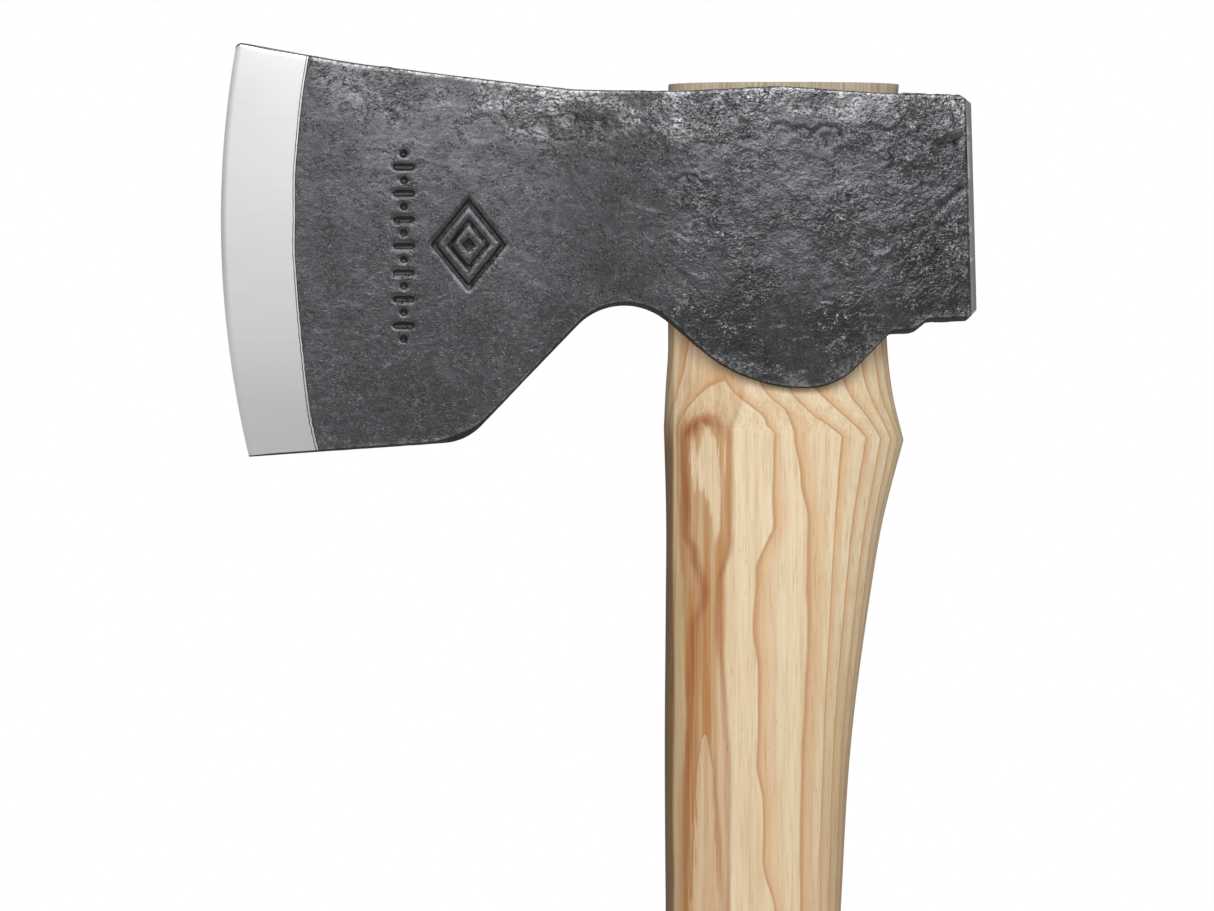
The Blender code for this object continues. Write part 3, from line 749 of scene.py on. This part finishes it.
class Nodes:
    """Small helper to lay out a material's nodes."""

    def __init__(self, name):
        self.material = bpy.data.materials.new(name)
        self.material.use_nodes = True
        self.tree = self.material.node_tree
        self.shader = self.tree.nodes["Principled BSDF"]
        self.position = self.node("ShaderNodeTexCoord", "Object", {})
        self.seed = 0

    def link(self, source, target):
        """Link two sockets, or set a plain value or colour."""
        if isinstance(source, bpy.types.NodeSocket):
            self.tree.links.new(source, target)
        elif isinstance(source, tuple) and len(target.default_value) > len(source):
            target.default_value = (*source, 1.0)
        else:
            target.default_value = source

    def node(self, kind, output, inputs, **settings):
        """Add a node, set its properties and inputs, and return one output."""
        made = self.tree.nodes.new(kind)
        for name, value in settings.items():
            setattr(made, name, value)
        for socket, value in inputs.items():
            self.link(value, made.inputs[socket])
        return made.outputs[output]

    def noise(self, x, y, z, detail=2.0, rough=0.5, distortion=0.0):
        """Noise with features of the given size in millimetres along each axis, each with its own seed."""
        self.seed += 1
        spread = (1 / (x * MM), 1 / (y * MM), 1 / (z * MM))
        shift = (self.seed * 17.3, self.seed * 9.1, self.seed * 5.7)
        inputs = {0: self.position, 1: spread, 2: shift}
        place = self.node("ShaderNodeVectorMath", 0, inputs, operation="MULTIPLY_ADD")
        inputs = {"Vector": place, "Scale": 1.0, "Detail": detail, "Roughness": rough}
        return self.node("ShaderNodeTexNoise", "Fac", {**inputs, "Distortion": distortion})

    def math(self, operation, first, second=0.0):
        """Arithmetic on values."""
        return self.node("ShaderNodeMath", 0, {0: first, 1: second}, operation=operation)

    def chain(self, operation, values):
        """One operation from value to value."""
        total = values[0]
        for value in values[1:]:
            total = self.math(operation, total, value)
        return total

    def sum(self, *values):
        """Add values together."""
        return self.chain("ADD", values)

    def times(self, *values):
        """Multiply values together."""
        return self.chain("MULTIPLY", values)

    def most(self, *values):
        """Largest of the values."""
        return self.chain("MAXIMUM", values)

    def minus(self, first, second):
        """First value less the second."""
        return self.math("SUBTRACT", first, second)

    def over(self, first, second):
        """First value divided by the second."""
        return self.math("DIVIDE", first, second)

    def below(self, first, second):
        """1 where the first value is under the second, 0 elsewhere."""
        return self.math("LESS_THAN", first, second)

    def gap(self, first, second):
        """How far apart two values are."""
        return self.math("ABSOLUTE", self.minus(first, second))

    def length(self, across, upward):
        """Length of a vector with two parts."""
        return self.math("SQRT", self.sum(self.times(across, across), self.times(upward, upward)))

    def oval(self, x, z, centre, radii):
        """Distance from a centre, 1 on the oval with the given radii."""
        across = self.over(self.minus(x, centre[0]), radii[0])
        upward = self.over(self.minus(z, centre[1]), radii[1])
        return self.length(across, upward)

    def map_range(self, kind, *values):
        """Map a value from one range to another, eased or straight."""
        inputs = dict(zip(("Value", "From Min", "From Max", "To Min", "To Max"), values))
        return self.node("ShaderNodeMapRange", "Result", inputs, interpolation_type=kind)

    def step(self, value, low, high, start=0.0, end=1.0):
        """Smooth step of a value."""
        return self.map_range("SMOOTHSTEP", value, low, high, start, end)

    def ramp(self, value, low, high, end):
        """Straight rise from 0 to the end value."""
        return self.map_range("LINEAR", value, low, high, 0.0, end)

    def path(self, value, places):
        """Easy curve through (value, result) places."""
        total = places[0][1]
        for (low, start), (high, end) in zip(places, places[1:]):
            total = self.sum(total, self.step(value, low, high, 0.0, end - start))
        return total

    def squiggles(self, x, z, width, low, high):
        """Short curved scratches: thin contours of one noise, kept only where another is high."""
        contour = self.gap(self.noise(x, x, z, 2.0, 0.6, 0.6), 0.5)
        keep = self.step(self.noise(x * 2.2, x * 2.2, x * 2.2, 1.0), low, high)
        dashes = self.step(self.noise(x * 0.5, x * 0.5, z * 0.5, 1.0), 0.47, 0.55)
        return self.times(self.step(contour, width, 0.0), keep, dashes)

    def mix(self, share, first, second):
        """Blend two colours."""
        return self.node("ShaderNodeMix", 2, {0: share, 6: first, 7: second}, data_type="RGBA")

    def coats(self, colour, *coats):
        """Lay (share, colour) coats over a colour, one after the other."""
        for share, coat in coats:
            colour = self.mix(share, colour, coat)
        return colour

    def attribute(self, name):
        """Value stored on the mesh."""
        return self.node("ShaderNodeAttribute", "Fac", {}, attribute_name=name)

    def axes(self):
        """Object position in millimetres, one value for each axis."""
        split = self.node("ShaderNodeSeparateXYZ", 0, {0: self.position}).node
        return [self.times(axis, 1 / MM) for axis in split.outputs]

    def bump(self, height, distance=1.0):
        """Bump from a height, whose unit is the distance in millimetres."""
        return self.node("ShaderNodeBump", "Normal", {"Height": height, "Distance": distance * MM})

    def finish(self, colour, roughness, metallic, normal=None):
        """Connect the shader's inputs."""
        self.link(colour, self.shader.inputs["Base Color"])
        self.link(roughness, self.shader.inputs["Roughness"])
        self.link(metallic, self.shader.inputs["Metallic"])
        if normal is not None:
            self.link(normal, self.shader.inputs["Normal"])
        return self.material


def mark_mask(n):
    """Crisp mask of the punch marks on the front cheek."""
    x, y, z = n.axes()
    across = n.over(n.gap(x, LOZENGE_X), LOZENGE_HALF_WIDTH)
    spread = n.sum(across, n.over(n.gap(z, LOZENGE_Z), LOZENGE_HALF_HEIGHT))
    lozenge = n.most(
        n.step(n.gap(spread, 1.0), LOZENGE_LINE * 1.15, LOZENGE_LINE * 0.8),
        n.step(n.gap(spread, LOZENGE_INNER), LOZENGE_LINE * 0.85, LOZENGE_LINE * 0.55),
        n.step(spread, LOZENGE_DOT * 1.1, LOZENGE_DOT * 0.85))
    bar_z = n.math("FLOORED_MODULO", n.minus(z, COLUMN_LOW_Z), COLUMN_PITCH)
    bar_z = n.gap(bar_z, COLUMN_PITCH / 2)
    dot_z = n.minus(COLUMN_PITCH / 2, bar_z)
    side = n.gap(x, COLUMN_X)
    bar = n.length(n.most(n.minus(side, BAR_REACH), 0.0), bar_z)
    column = n.most(
        n.step(bar, BAR_HALF * 1.1, BAR_HALF * 0.8),
        n.step(n.length(side, dot_z), DOT_RADIUS, DOT_RADIUS * 0.75))
    span = n.times(n.below(COLUMN_LOW_Z - COLUMN_OVER, z), n.below(z, COLUMN_HIGH_Z + COLUMN_OVER))
    return n.times(n.most(lozenge, n.times(column, span)), n.below(y, 0.0))


def forged_material():
    """Forge scale: blue-black where smooth, greyer where worn, with glints and dark cracks where coarse,
    painted shade in pits, punch marks and low on the cheek, and a painted highlight along the edges.
    """
    n = Nodes("forged_steel_look")
    names = ("coarse", "cracked", "relief", "wear", "silver")
    coarse, cracked, relief, wear, silver = [n.attribute(name) for name in names]
    z = n.axes()[2]
    cloud = n.noise(10, 10, 10, 3.0, 0.6)
    mottle = n.noise(1.5, 1.5, 1.2, 4.0, 0.7)
    grain = n.noise(0.34, 0.34, 0.28, 2.0, 0.6)
    speckle = n.noise(0.8, 0.8, 0.55, 2.0, 0.6)
    cracks = n.squiggles(1.6, 1.1, 0.08, 0.48, 0.57)
    glints = n.squiggles(1.0, 0.8, 0.06, 0.54, 0.62)
    scratches = n.squiggles(3.4, 0.7, 0.022, 0.56, 0.64)
    chips = n.noise(1.4, 1.4, 1.4, 3.0, 0.75)
    leather = n.noise(1.9, 1.9, 1.7, 1.0, 0.5, 0.6)
    scale = n.noise(0.7, 0.7, 0.6, 1.5, 0.55, 0.4)
    pepper = n.noise(0.5, 0.5, 0.45, 1.0, 0.5)
    marks = mark_mask(n)
    unmarked = n.minus(1.0, marks)
    colour = n.coats(
        n.mix(n.step(cloud, 0.36, 0.66), SCALE_DARK, SCALE_LIGHT),
        (n.times(cracked, n.step(speckle, 0.62, 0.38), 0.6), SOOT_AND_PIT_SHADE),
        (n.step(mottle, 0.68, 0.36, 0.0, 0.45), SCALE_SPOT),
        (n.times(n.step(grain, 0.55, 0.75), 0.4), SCALE_GREY),
        # Painted shade: coarse scale darkened towards the bottom of the cheek.
        (n.times(n.step(z, 385.0, 350.0), n.step(coarse, 0.24, 0.6), 0.6), LOW_SCALE_SHADE),
        (n.times(silver, n.step(speckle, 0.42, 0.56), 0.75), SILVER),
        (n.times(cracks, n.step(coarse, 0.15, 0.7, 0.5, 0.95)), CRACK),
        (n.times(glints, n.step(coarse, 0.2, 0.7, 0.1, 0.75)), GLINT),
        (n.times(scratches, 0.5), SCRATCH),
        # Painted shade: the pits of the relief are darkened.
        (n.step(relief, -0.16, -0.36), SOOT_AND_PIT_SHADE),
        # Rubbed wear and painted highlight along the cheeks' edges.
        (n.times(wear, n.step(chips, 0.38, 0.62), 0.75), WEAR_AND_HIGHLIGHT),
        # Painted shade: the punch marks are darkened to near black.
        (n.times(marks, 0.9), PUNCH_SHADE),
        (n.times(n.step(pepper, 0.5, 0.34), unmarked, 0.2), PEPPER_DARK),
        (n.times(n.step(pepper, 0.54, 0.7), unmarked, 0.08), PEPPER_LIGHT))
    height = n.times(n.sum(n.times(leather, 0.2), n.times(scale, 0.19)), n.step(coarse, 0.12, 0.8, 0.12, 1.0))
    height = n.sum(height, n.times(mottle, 0.035), n.times(cracks, -0.06), n.times(glints, 0.03))
    height = n.minus(height, n.times(marks, 0.12))
    return n.finish(colour, n.step(cloud, 0.3, 0.7, 0.32, 0.28), 0.62, n.bump(height))


def shaded_flank_material():
    """Painted shade on the narrow faces round the head's outline: dull near-black, darker than the cheeks'
    scale.
    """
    n = Nodes("forged_flank_shade_look")
    mottle = n.noise(1.6, 1.6, 1.6, 3.0, 0.6)
    colour = n.mix(n.step(mottle, 0.35, 0.7), (0.008, 0.008, 0.009), (0.03, 0.031, 0.034))
    n.shader.inputs["Specular IOR Level"].default_value = 0.15
    return n.finish(colour, 0.6, 0.0, n.bump(mottle, 0.3))


def bevel_material():
    """Fine ground steel, its faint marks running across the bevel."""
    n = Nodes("ground_bevel_look")
    fine = n.noise(14.0, 4.0, 0.7, 1.0)
    broad = n.noise(16.0, 8.0, 3.0, 2.0)
    x, _, z = n.axes()
    outward = n.oval(x, z, (EDGE_X + EDGE_RADIUS, EDGE_CENTRE_Z), (EDGE_RADIUS, EDGE_RADIUS))
    honed = n.times(n.step(outward, 1.0 - HONED_WIDTH / EDGE_RADIUS, 1.0), n.step(z, 325.0, 370.0, 0.15, 1.0))
    # The bevel is made darker towards its top and bottom ends.
    ends_darkened = n.sum(n.step(z, 372.0, 402.0, 0.0, 0.18), n.step(z, 348.0, 325.0, 0.0, 0.2))
    ground = n.mix(n.step(fine, 0.25, 0.75), (0.722, 0.724, 0.728), (0.738, 0.739, 0.738))
    colour = n.coats(ground, (honed, (0.4, 0.403, 0.41)), (ends_darkened, (0.35, 0.352, 0.356)))
    return n.finish(colour, n.step(broad, 0.3, 0.7, 0.285, 0.3), 1.0)


def hairline_material():
    """Thin dull line where the grind meets the scale."""
    n = Nodes("grind_line_look")
    breaks = n.noise(1.1, 1.1, 1.6, 2.0)
    colour = n.mix(n.step(breaks, 0.4, 0.6), (0.03, 0.03, 0.03), (0.14, 0.14, 0.14))
    return n.finish(colour, 0.5, 0.7)


def poll_material():
    """Coarser ground steel on the poll, its marks running up and down."""
    n = Nodes("ground_poll_look")
    fine = n.noise(0.3, 0.3, 9.0, 3.0, 0.6)
    colour = n.mix(n.step(fine, 0.3, 0.7), (0.6, 0.605, 0.59), (0.72, 0.72, 0.7))
    return n.finish(colour, 0.48, 1.0, n.bump(fine, 0.01))


def growth_rings(n, z, stray, depth):
    """Shares of late wood and of ring lines: arched lines on the front, then rings by depth."""
    inner, outer = n.path(z, INNER_GRAIN), n.path(z, OUTER_GRAIN)
    deep_rings = n.over(n.sum(depth, RING_START), RING_SPACING)
    phase = n.sum(
        20.0 - PALE_PHASE,
        n.ramp(n.minus(inner, stray), 2.6, 0.0, PALE_PHASE),
        n.ramp(n.over(n.minus(stray, inner), n.minus(outer, inner)), 0.0, 1.0, 1.0),
        n.ramp(n.minus(stray, outer), 0.0, 6.0, 1.0 - PALE_PHASE),
        n.most(n.minus(deep_rings, 2.0 - PALE_PHASE), 0.0))
    rings = n.math("FRACT", phase)
    return n.step(rings, 0.6, 0.03), n.most(n.step(rings, 0.13, 0.0), n.step(rings, 0.955, 1.0))


def heart_shares(n, x, y, z, heart_x, flame, streaks, ragged):
    """Shares of the brown heartwood, less its pale places, and of its darker rim."""
    past_heart = n.minus(heart_x, n.path(z, HEART_END))
    within = n.step(n.minus(heart_x, n.path(z, HEART_START)), -0.5, 0.6)
    heart = n.times(n.step(past_heart, 0.5, -0.9), within, n.below(y, 3.0))
    rim = n.times(n.step(n.gap(past_heart, -0.5), 1.0, 0.1), n.step(z, 294.0, 299.0))
    clear = n.most(
        n.step(n.sum(n.oval(x, z, *ISLAND), ragged), 1.15, 0.8),
        n.step(n.sum(n.oval(x, z, *STRIP), ragged), 1.15, 0.7),
        n.step(n.sum(flame, ragged), 1.2, 0.7, 0.0, 0.65))
    low_down = n.step(z, 305.0, 280.0, 0.0, 0.25)
    faded = n.times(n.step(z, 285.0, 265.0), n.step(heart_x, -10.0, -7.5))
    strength = n.times(
        n.sum(n.step(streaks, 0.3, 0.65, 0.4, 0.86), low_down),
        n.step(z, 330.0, 322.0, 0.4, 1.0),
        n.minus(1.0, n.times(faded, 0.5)))
    return n.times(heart, n.minus(1.0, n.times(clear, 0.9)), strength), n.times(heart, rim, 0.25)


def red_lines(n, x, y, z, heart_x, flame):
    """Share of the thin red lines on the front: along the heart, over its island and beside it."""
    in_front = n.below(y, 0.0)
    long_line = n.times(
        n.step(n.gap(heart_x, n.path(z, RED_GRAIN)), 1.9, 0.0),
        n.step(z, 262.0, 292.0, 0.75, 0.9), in_front, n.step(z, 328.0, 320.0, 0.3, 1.0))
    arch = n.times(
        n.step(n.gap(n.oval(heart_x, z, *ISLAND_ARCH), 1.0), 0.34, 0.0),
        n.step(z, 316.0, 323.0), n.step(x, -4.0, -13.0, 0.2, 0.9))
    from_side = n.gap(heart_x, n.path(z, SIDE_GRAIN))
    side_line = n.times(n.step(from_side, 1.3, 0.0), n.step(z, 303.0, 296.0))
    flame_side = n.times(n.step(n.gap(flame, 1.2), 0.35, 0.0), n.step(z, 258.0, 254.0))
    return n.most(long_line, arch, n.times(n.most(side_line, flame_side), in_front, 0.45))


def wood_material():
    """Pale hickory: growth rings nearly parallel to the cheeks, a red-brown heart streak in front."""
    n = Nodes("hickory_look")
    x, y, z = n.axes()
    sway = n.minus(n.noise(24.0, 24.0, 85.0, 2.0), 0.5)
    wobble = n.minus(n.noise(7.0, 7.0, 26.0, 2.0), 0.5)
    fuzz = n.minus(n.noise(0.9, 0.9, 7.0, 2.0), 0.5)
    fibre = n.noise(0.42, 0.42, 14.0, 3.0, 0.65)
    streaks = n.noise(1.5, 1.5, 55.0, 3.0, 0.6)
    grain = n.noise(0.25, 0.25, 0.9, 2.0)
    ragged = n.times(n.minus(n.noise(0.7, 0.7, 12.0, 3.0, 0.6), 0.5), 2.4)
    pores = n.noise(0.2, 0.2, 2.4, 1.0)
    lift = n.times(n.minus(z, 250.0), 0.025)
    depth = n.sum(y, n.times(x, 0.15), lift, n.times(sway, 0.5), n.times(wobble, 0.5), n.times(fuzz, 0.12))
    stray = n.sum(x, n.times(sway, 1.2), n.times(wobble, 1.6), n.times(fuzz, 0.5))
    heart_x = n.sum(x, n.times(sway, 1.5), n.times(wobble, 1.5), n.times(fuzz, 0.8))
    flame_width = n.math("SQRT", n.most(n.times(n.minus(FLAME_TIP_Z, z), 0.3), 0.0))
    flame = n.over(n.gap(x, FLAME_X), n.sum(flame_width, 0.01))

    late, line = growth_rings(n, z, stray, depth)
    stain, rim = heart_shares(n, x, y, z, heart_x, flame, streaks, ragged)
    red = n.times(red_lines(n, x, y, z, heart_x, flame), n.step(streaks, 0.34, 0.6, 0.6, 1.0))
    # Painted shade: a dark strip down the handle's left edge, where the surface turns away from the light.
    left_edge_shade = n.times(
        n.step(n.sum(x, wobble), -17.3, -18.1), n.step(z, 330.0, 318.0, 0.5, 0.92), n.step(z, 90.0, 190.0))
    colour = n.coats(
        n.mix(n.step(streaks, 0.35, 0.7), PALE_WOOD, PALE_STREAK),
        (late, LATE_WOOD),
        (n.times(line, 0.7), RING_LINE),
        (stain, HEARTWOOD),
        (rim, HEART_RIM),
        (red, RED_LINE),
        (n.times(n.step(x, -14.6, -16.2), n.step(z, 305.0, 285.0), 0.6), LEFT_TINT),
        (left_edge_shade, PAINTED_EDGE_SHADE),
        (n.times(n.step(x, 11.0, 19.0), n.step(z, 300.0, 235.0), 0.4), RIGHT_TINT),
        (n.step(z, 325.0, 225.0, 0.02, 0.14), LOWER_TINT),
        (n.step(fibre, 0.48, 0.72, 0.0, 0.42), FIBRE),
        (n.step(grain, 0.52, 0.78, 0.0, 0.16), SPECK),
        (n.step(pores, 0.76, 0.82, 0.0, 0.5), PORE),
        (n.times(n.step(z, 392.0, 396.0), 0.8), n.mix(n.step(fibre, 0.35, 0.7), *WEATHERED)))
    n.shader.inputs["Specular IOR Level"].default_value = 0.3
    height = n.minus(n.times(fibre, 0.05), n.step(pores, 0.74, 0.82, 0.0, 0.06))
    return n.finish(colour, n.step(fibre, 0.3, 0.7, 0.5, 0.6), 0.0, n.bump(height))


def wedge_material():
    """Darker sawn wood of the wedge."""
    n = Nodes("wedge_wood_look")
    fibre = n.noise(0.5, 0.4, 14.0, 3.0, 0.6)
    colour = n.mix(fibre, (0.28, 0.17, 0.09), (0.5, 0.36, 0.22))
    return n.finish(colour, 0.65, 0.0, n.bump(fibre, 0.1))


def ring_material():
    """Turned steel of the ring."""
    n = Nodes("ring_steel_look")
    turned = n.noise(1.2, 1.2, 0.2, 2.0)
    colour = n.mix(turned, (0.35, 0.35, 0.36), (0.5, 0.5, 0.5))
    return n.finish(colour, 0.36, 1.0, n.bump(turned, 0.02))


# ------------ stage

FLOOR_SIZE = 3.0
FLOOR_Z = -0.0005
LIGHT_AIM = Vector((-0.02, 0.0, 0.34))
# Lights: azimuth and elevation in degrees, distance, width, height, and how bright the face looks.
LIGHTS = {
    "key_softbox": (-4.0, 27.0, 1.5, 1.5, 0.5, 6.6),
    "cheek_panel": (-2.5, 12.0, 1.5, 1.17, 0.25, 4.05),
    "bevel_panel_high": (-36.0, 4.5, 1.3, 0.36, 0.42, 0.67),
    "bevel_panel_low": (-36.0, -10.0, 1.3, 0.4, 0.4, 0.28),
    "poll_panel": (72.0, 4.0, 1.2, 0.5, 0.5, 1.3),
    "back_panel": (165.0, 30.0, 1.6, 1.4, 0.7, 1.6),
}
AMBIENT = 0.18
BACKDROP = 1.0
CAMERA_PLACE = (-0.0323, -1.2, 0.3178)
SENSOR_WIDTH = 36.0
VIEW_WIDTH = 0.2671


def build_floor():
    """Plain pale floor under the butt."""
    bpy.ops.mesh.primitive_plane_add(size=FLOOR_SIZE, location=(0.0, 0.0, FLOOR_Z))
    floor = bpy.context.active_object
    floor.name = "studio_floor"
    n = Nodes("studio_floor_look")
    floor.data.materials.append(n.finish((0.82, 0.82, 0.82), 0.7, 0.0))


def area_light(name, azimuth, elevation, distance, width, height, brightness):
    """Soft rectangular light in a direction from the head."""
    light = bpy.data.lights.new(name, "AREA")
    light.shape = "RECTANGLE"
    light.size = width
    light.size_y = height
    light.energy = brightness * math.pi * width * height
    turn, rise = math.radians(azimuth), math.radians(elevation)
    level = math.cos(rise)
    toward = Vector((math.sin(turn) * level, -math.cos(turn) * level, math.sin(rise)))
    lamp = bpy.data.objects.new(name, light)
    lamp.location = LIGHT_AIM + toward * distance
    lamp.rotation_euler = (-toward).to_track_quat("-Z", "Y").to_euler()
    lamp.visible_camera = False
    bpy.context.scene.collection.objects.link(lamp)


def build_lights():
    """Soft key from high in front, panels that the ground steel reflects, and a white backdrop."""
    for name, settings in LIGHTS.items():
        area_light(name, *settings)
    world = bpy.data.worlds.new("studio_world")
    bpy.context.scene.world = world
    world.use_nodes = True
    tree = world.node_tree
    path = tree.nodes.new("ShaderNodeLightPath")
    mixer = tree.nodes.new("ShaderNodeMixShader")
    tree.links.new(path.outputs["Is Camera Ray"], mixer.inputs[0])
    ambient, backdrop = tree.nodes["Background"], tree.nodes.new("ShaderNodeBackground")
    for index, node, strength in ((1, ambient, AMBIENT), (2, backdrop, BACKDROP)):
        node.inputs["Color"].default_value = (1.0, 1.0, 1.0, 1.0)
        node.inputs["Strength"].default_value = strength
        tree.links.new(node.outputs[0], mixer.inputs[index])
    tree.links.new(mixer.outputs[0], tree.nodes["World Output"].inputs["Surface"])


def build_camera():
    """Camera square to the cheek, far enough for a flat product view."""
    camera = bpy.data.cameras.new("camera")
    camera.sensor_width = SENSOR_WIDTH
    camera.lens = SENSOR_WIDTH * -CAMERA_PLACE[1] / VIEW_WIDTH
    made = bpy.data.objects.new("camera", camera)
    made.location = CAMERA_PLACE
    made.rotation_euler = (math.radians(90), 0.0, 0.0)
    bpy.context.scene.collection.objects.link(made)
    bpy.context.scene.camera = made


def main():
    """Build the visible pieces and the stage."""
    steel = (forged_material(), bevel_material(), poll_material(), hairline_material(), shaded_flank_material())
    for piece, materials, node, slot_name, angle in (
        (build_head(), steel, "axe_head", "forged_steel", 40),
        (build_handle(), [wood_material()], "handle", "hickory", 30),
        (build_wedge(), [wedge_material()], "wooden_wedge", "wedge_wood", 30),
        (build_ring(), [ring_material()], "steel_ring_wedge", "ring_steel", 30),
    ):
        for material in materials:
            piece.data.materials.append(material)
        shade(piece, angle)
        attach(piece, "root")
        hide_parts(node)
    build_floor()
    build_lights()
    build_camera()
    bpy.context.scene.view_settings.view_transform = "Standard"


main()
